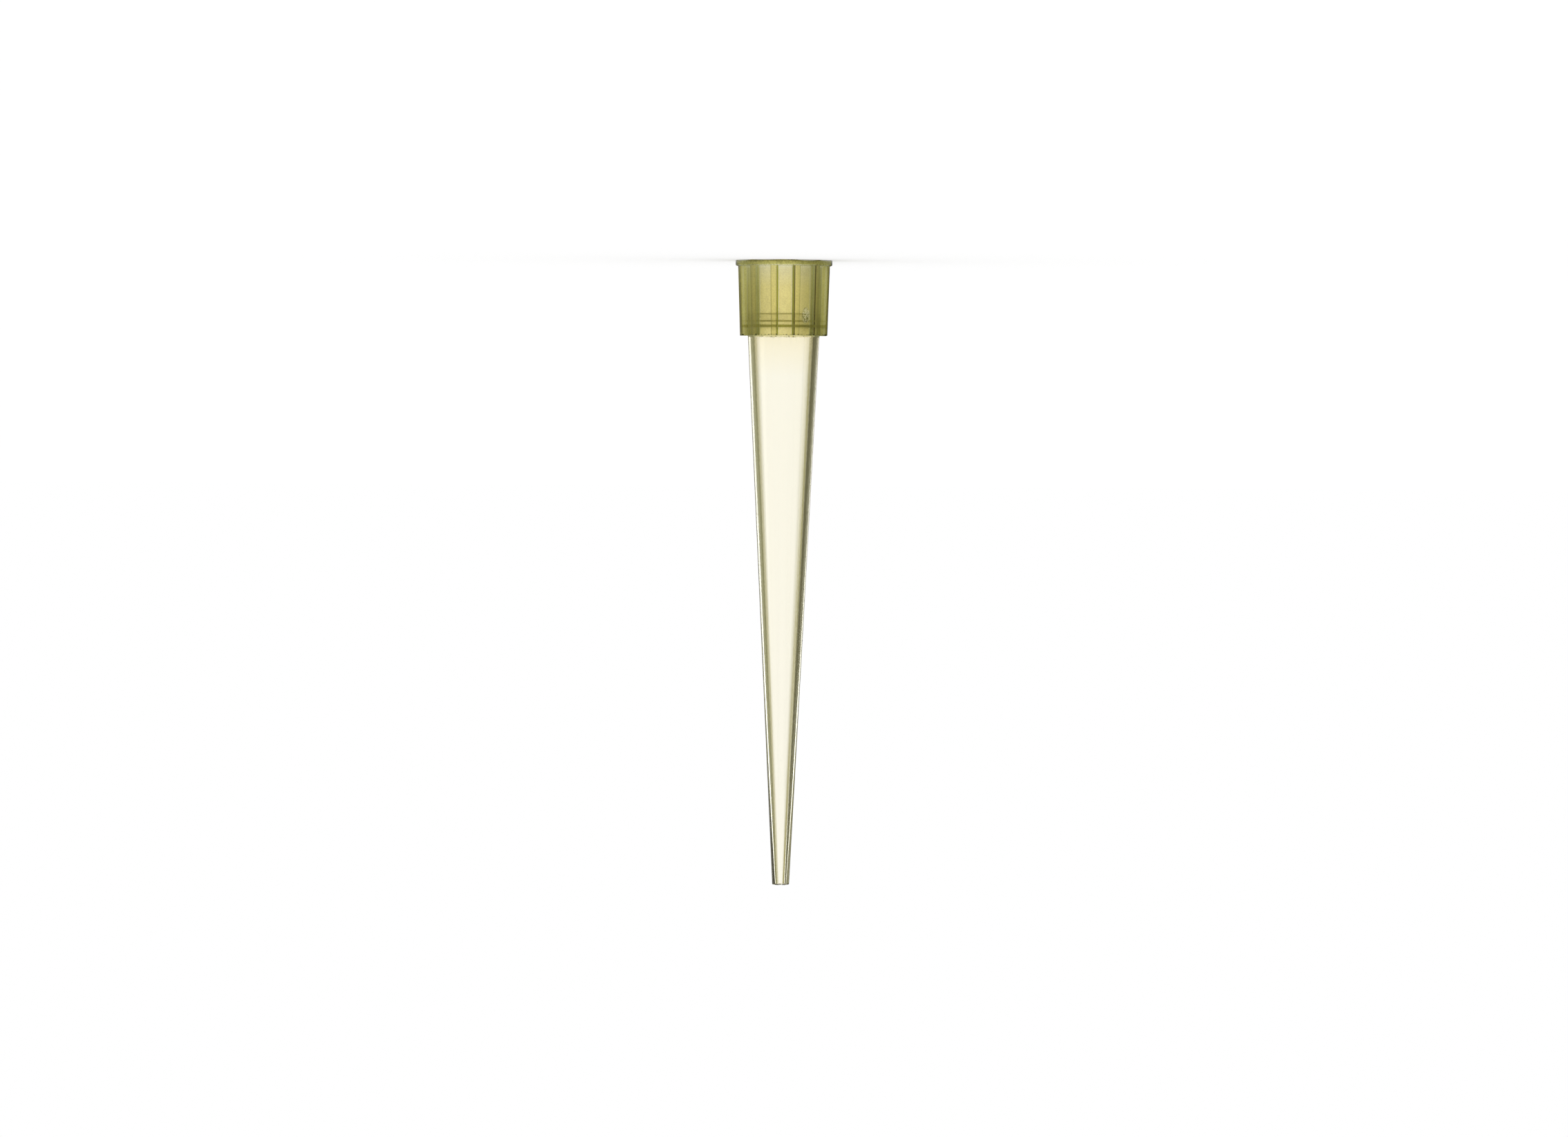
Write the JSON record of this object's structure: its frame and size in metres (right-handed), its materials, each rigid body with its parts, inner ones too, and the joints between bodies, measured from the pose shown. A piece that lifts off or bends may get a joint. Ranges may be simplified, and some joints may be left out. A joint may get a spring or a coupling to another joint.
{
  "type": "pipette tip",
  "caption": "Tapered hollow tip for a hand pipettor, with a finned collar round its socket, a flat shoulder and a fine orifice at its point.",
  "frame": {"origin": "centre of the mouth's flat face, which the tip stands on", "axes": "+Z along the tip's axis from the mouth to the point; +X and +Y each point through the middle of a bare panel between two fins"},
  "size_m": [0.0078, 0.0078, 0.051],
  "materials": {
    "tinted_polypropylene": "clear yellow-tinted polypropylene, polished on the cone and lightly frosted on the collar"
  },
  "bodies": {
    "root": {"pipette_tip": "tinted_polypropylene"}
  },
  "joints": []
}
